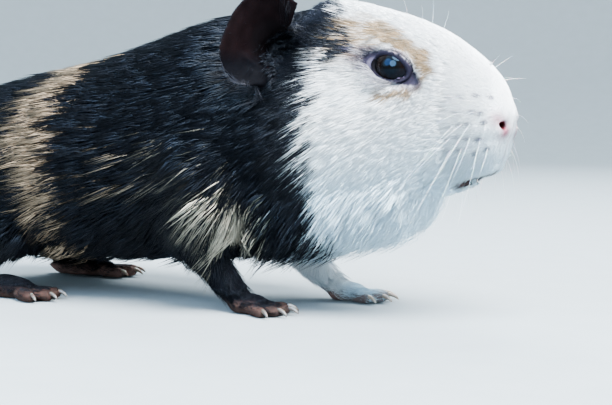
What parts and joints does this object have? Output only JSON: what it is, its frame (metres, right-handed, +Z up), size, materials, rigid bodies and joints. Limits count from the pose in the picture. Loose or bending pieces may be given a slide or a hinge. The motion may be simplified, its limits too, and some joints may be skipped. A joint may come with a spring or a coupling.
{
  "type": "guinea pig",
  "caption": "Life-size still model of a white, black and tan guinea pig, standing on its feet with its head raised and ears spread.",
  "frame": {"origin": "middle of the bounding box of the whole animal, at the level of the soles", "axes": "+X is where the animal looks, +Y is its left side, +Z is up"},
  "size_m": [0.2582, 0.097, 0.1099],
  "materials": {
    "coat_white": "dense smooth white fur with a faint cool cast, hairs lying back from the nose",
    "coat_black": "glossy black fur in loose pointed locks, lying back and down",
    "coat_tan": "pale tan fur, soft and slightly brindled",
    "nose_skin": "fine-grained damp pink skin round the nostrils, with short down",
    "foot_skin": "bare pinkish-brown skin with fine creases and pads",
    "ear_skin": "thin dark brown-purple skin, almost bare, with fine short hairs at the rim",
    "eye": "wet black-brown eye with a clear gloss",
    "claw": "translucent horn, darker at the root"
  },
  "bodies": {
    "root": {"head": "coat_white", "jaw": "coat_white", "nose": "nose_skin", "neck": "coat_black", "trunk": "coat_black", "foreleg_left": "coat_white", "foreleg_right": "coat_black", "hindleg_left": "coat_tan", "hindleg_right": "coat_black", "forefoot_left": "foot_skin", "forefoot_right": "foot_skin", "hindfoot_left": "foot_skin", "hindfoot_right": "foot_skin", "ear_left": "ear_skin", "ear_right": "ear_skin", "eye_left": "eye", "eye_right": "eye", "claw_forefoot_left_1": "claw", "claw_forefoot_left_2": "claw", "claw_forefoot_left_3": "claw", "claw_forefoot_left_4": "claw", "claw_forefoot_right_1": "claw", "claw_forefoot_right_2": "claw", "claw_forefoot_right_3": "claw", "claw_forefoot_right_4": "claw", "claw_hindfoot_left_1": "claw", "claw_hindfoot_left_2": "claw", "claw_hindfoot_left_3": "claw", "claw_hindfoot_right_1": "claw", "claw_hindfoot_right_2": "claw", "claw_hindfoot_right_3": "claw"}
  },
  "joints": []
}
